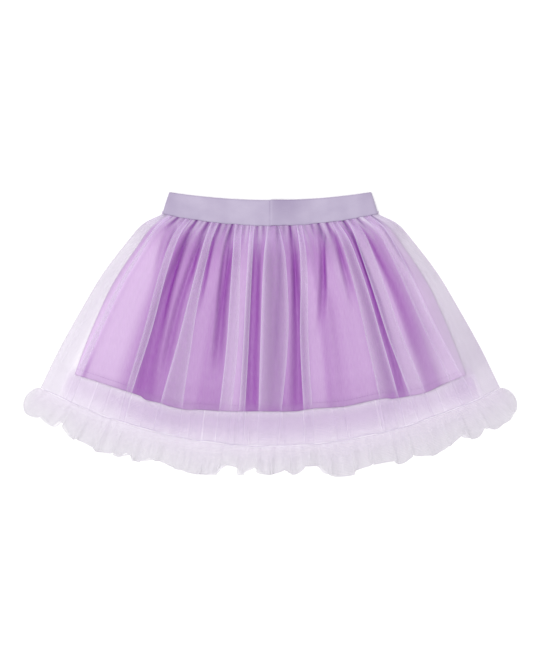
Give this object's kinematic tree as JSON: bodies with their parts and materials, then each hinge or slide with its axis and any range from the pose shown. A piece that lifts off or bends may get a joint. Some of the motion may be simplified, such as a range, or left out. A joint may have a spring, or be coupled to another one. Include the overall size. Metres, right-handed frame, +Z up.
{
  "type": "tulle skirt",
  "caption": "Child's pull-on skirt laid flat: elastic waistband, satin lining, gathered and pleated net overskirt, fluted net ruffle round the hem.",
  "frame": {"origin": "middle of the bounding box, on the surface that the skirt lies on", "axes": "+X across the skirt to the picture's right, +Y towards the waistband, +Z up from the surface"},
  "size_m": [0.538, 0.3066, 0.0154],
  "materials": {
    "elastic": "ribbed woven elastic, matte",
    "satin": "smooth polyester satin, soft sheen",
    "net": "fine soft tulle net, see-through, matte",
    "ruffle_net": "fine soft tulle net, gathered, matte"
  },
  "bodies": {
    "root": {"waistband": "elastic", "lining_front": "satin", "lining_back": "satin", "tulle_front": "net", "tulle_back": "net", "ruffle_front": "ruffle_net", "ruffle_back": "ruffle_net"}
  },
  "joints": []
}
